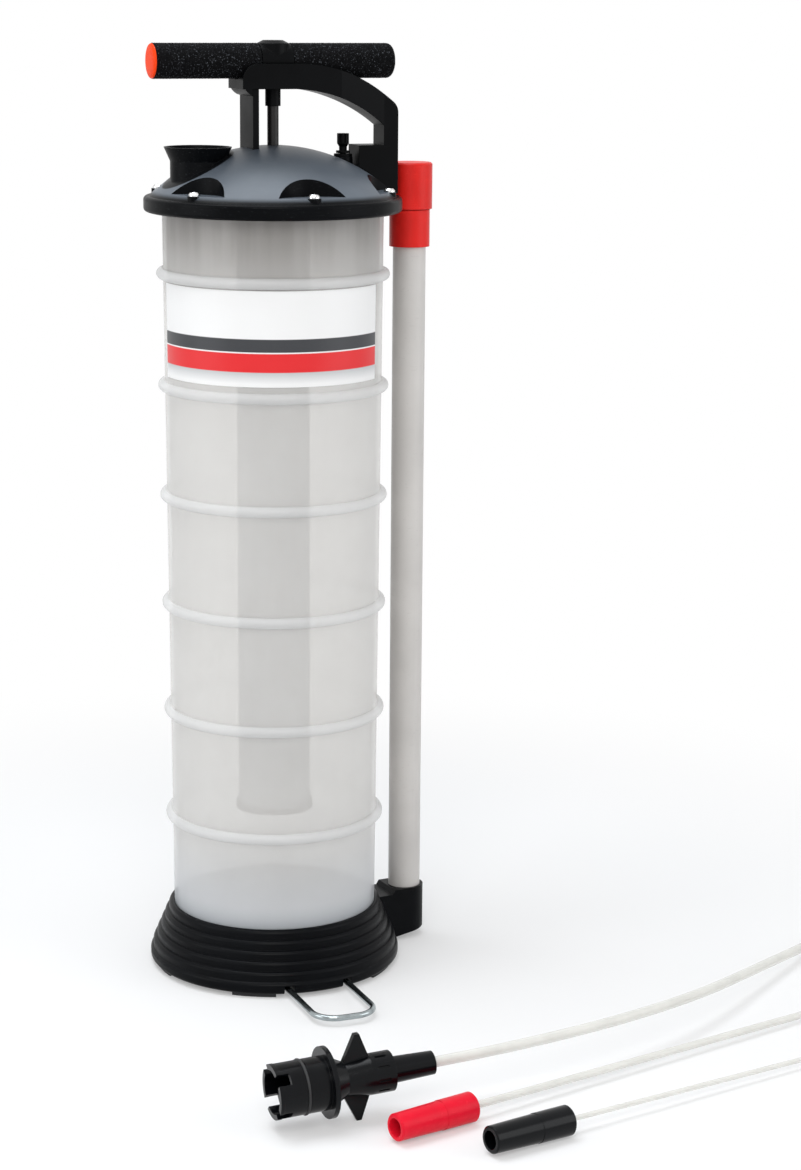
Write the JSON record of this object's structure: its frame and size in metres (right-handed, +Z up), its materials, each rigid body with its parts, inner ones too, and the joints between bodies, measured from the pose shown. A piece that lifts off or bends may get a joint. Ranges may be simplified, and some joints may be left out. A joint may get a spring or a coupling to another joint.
{
  "type": "hand vacuum fluid extractor",
  "caption": "Free-standing hand vacuum extractor: ribbed translucent tank with a domed lid, T-handle piston pump, carry handle, foot stirrup, side storage tube and loose suction probes.",
  "frame": {"origin": "on the floor below the tank's axis, in the plane of the foot pads", "axes": "+Z up along the tank, +X along the carry handle towards its leg and the side tube, -Y to the front, where the stirrup comes out"},
  "size_m": [0.5717, 0.4499, 0.619],
  "materials": {
    "foot_plastic": "moulded black",
    "pad_rubber": "matte rubber",
    "stirrup_steel": "bright zinc wire",
    "inner_plastic": "moulded",
    "screw_steel": "bright zinc",
    "tank_plastic": "milky translucent",
    "label_film": "printed film",
    "lid_plastic": "fine moulded grain",
    "seal_rubber": "matte rubber",
    "handle_plastic": "moulded black",
    "barrel_plastic": "drawn tube",
    "rod_steel": "black coated",
    "grip_foam": "speckled foam",
    "orange_plastic": "moulded",
    "side_tube_plastic": "drawn tube",
    "red_plastic": "moulded",
    "plug_plastic": "moulded",
    "probe_plastic": "translucent tube",
    "red_sleeve_plastic": "moulded"
  },
  "bodies": {
    "tank_unit": {"base_foot": "foot_plastic", "foot_pads": "pad_rubber", "stirrup_guide": "inner_plastic", "guide_screws": "screw_steel", "tank": "tank_plastic", "label_panel": "label_film", "lid": "lid_plastic", "lid_gasket": "seal_rubber", "lid_screws": "screw_steel", "carry_handle": "handle_plastic", "handle_screws": "screw_steel", "rod_guide_bush": "handle_plastic", "rod_seal": "seal_rubber", "gland_plate": "inner_plastic", "pump_barrel": "barrel_plastic", "barrel_foot": "inner_plastic", "valve_retainer": "screw_steel", "release_valve_seat": "handle_plastic", "storage_tube": "side_tube_plastic", "storage_collar": "red_plastic"},
    "pump_handle": {"pump_rod": "rod_steel", "piston": "inner_plastic", "piston_cup": "seal_rubber", "piston_washer": "screw_steel", "piston_nut": "screw_steel", "t_handle": "handle_plastic", "grip_left": "grip_foam", "grip_right": "grip_foam", "end_cap_left": "orange_plastic", "end_cap_right": "orange_plastic"},
    "inlet_valve": {"inlet_valve_disc": "seal_rubber"},
    "release_valve": {"release_valve_knob": "handle_plastic", "release_valve_disc": "seal_rubber"},
    "tube_cap": {"storage_cap": "red_plastic"},
    "stirrup": {"foot_stirrup": "stirrup_steel"},
    "large_probe": {"suction_plug": "plug_plastic", "plug_seal": "seal_rubber", "suction_tube_large": "probe_plastic"},
    "medium_probe": {"red_sleeve": "red_sleeve_plastic", "suction_tube_medium": "probe_plastic"},
    "small_probe": {"black_sleeve": "plug_plastic", "suction_tube_small": "probe_plastic"}
  },
  "joints": [
    {"name": "pump_stroke", "type": "slide", "parent": "tank_unit", "child": "pump_handle", "axis": [0, 0, 1], "range_m": [0, 0.36]},
    {"name": "inlet_valve_lift", "type": "slide", "parent": "tank_unit", "child": "inlet_valve", "axis": [0, 0, 1], "range_m": [0, 0.002]},
    {"name": "release_valve_turn", "type": "hinge", "parent": "tank_unit", "child": "release_valve", "pos_m": [0.0485, 0, 0.55], "axis": [0, 0, 1], "range_deg": [0, 360]},
    {"name": "storage_cap_pull", "type": "slide", "parent": "tank_unit", "child": "tube_cap", "axis": [0, 0, 1], "range_m": [0, 0.05]},
    {"name": "stirrup_slide", "type": "slide", "parent": "tank_unit", "child": "stirrup", "axis": [0, 1, 0], "range_m": [0, 0.036]},
    {"name": "large_probe_lift", "type": "slide", "parent": "tank_unit", "child": "large_probe", "axis": [0, 0, 1], "range_m": [0, 0.25]},
    {"name": "medium_probe_lift", "type": "slide", "parent": "tank_unit", "child": "medium_probe", "axis": [0, 0, 1], "range_m": [0, 0.25]},
    {"name": "small_probe_lift", "type": "slide", "parent": "tank_unit", "child": "small_probe", "axis": [0, 0, 1], "range_m": [0, 0.25]}
  ]
}
